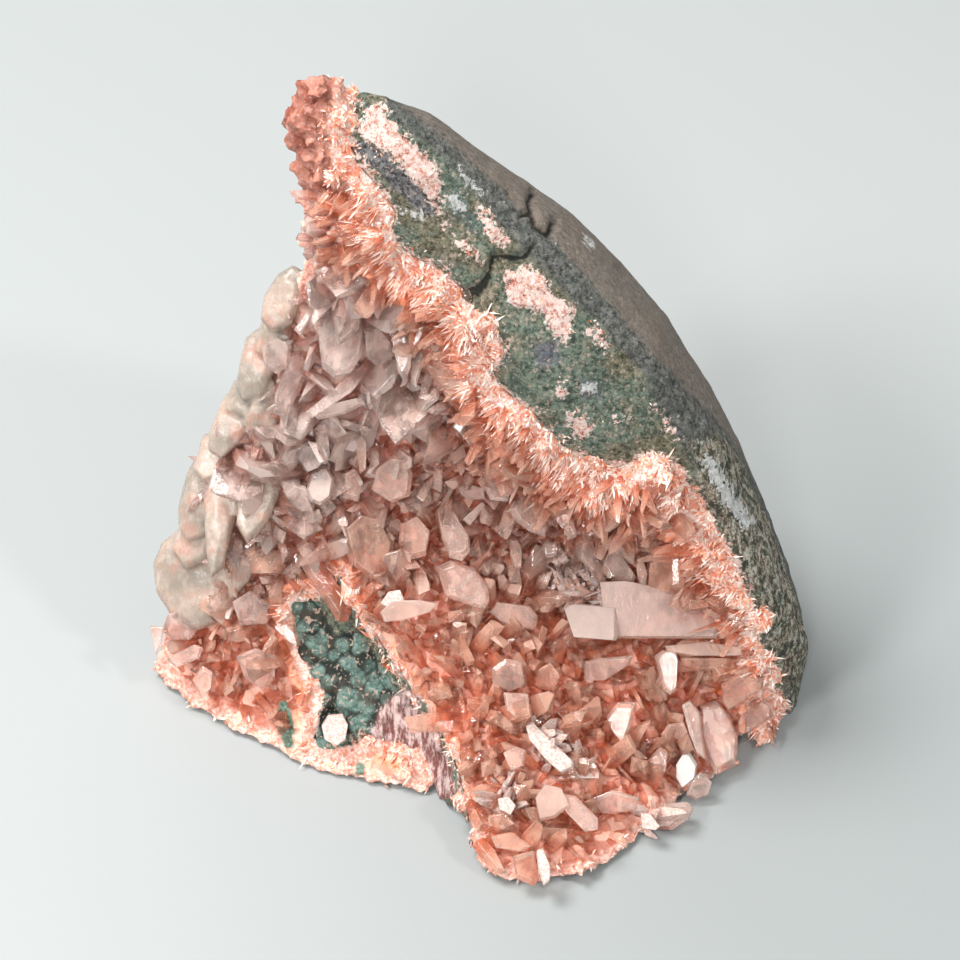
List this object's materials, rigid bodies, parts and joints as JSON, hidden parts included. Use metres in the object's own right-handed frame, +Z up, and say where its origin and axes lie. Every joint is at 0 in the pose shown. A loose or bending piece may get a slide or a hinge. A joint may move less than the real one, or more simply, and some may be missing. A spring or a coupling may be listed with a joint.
{
  "type": "apophyllite and stilbite crystal specimen on basalt",
  "caption": "Hand specimen: half of a hollow in basalt, lined with an orange zeolite crust and clear tabular crystals, standing on a flat foot.",
  "frame": {"origin": "centre of the bounding box, on the surface that the specimen stands on", "axes": "+Z up, -Y towards the viewer of the crystal face, +X to that viewer's right"},
  "size_m": [0.104, 0.0828, 0.1092],
  "materials": {
    "basalt": "weathered basalt skin, with green celadonite on the broken face and in the pocket",
    "crystal_crust": "orange to pale pink translucent zeolite crust, fibrous at the rim and crowded with small crystals",
    "cream_stilbite": "pearly cream, slightly translucent",
    "clear_crystal": "clear to faintly pink crystal with bright flat faces"
  },
  "bodies": {
    "root": {"basalt_matrix": "basalt", "crystal_crust": "crystal_crust", "cream_blades": "cream_stilbite", "long_blade_crystal": "clear_crystal", "mirror_prism_crystal": "clear_crystal", "pointed_prism_crystal": "clear_crystal", "clear_prism_crystal": "clear_crystal", "tabular_crystal": "clear_crystal", "orange_block_crystal": "clear_crystal", "gray_cube_crystal": "clear_crystal", "facet_prism_crystal": "clear_crystal", "upper_fan_blade_1": "clear_crystal", "upper_fan_blade_2": "clear_crystal", "upper_fan_blade_3": "clear_crystal", "round_block_crystal": "clear_crystal", "wedge_crystal": "clear_crystal", "gray_plate_crystal": "clear_crystal", "glint_crystal": "clear_crystal", "streak_crystal": "clear_crystal", "pocket_crystal": "clear_crystal"}
  },
  "joints": []
}
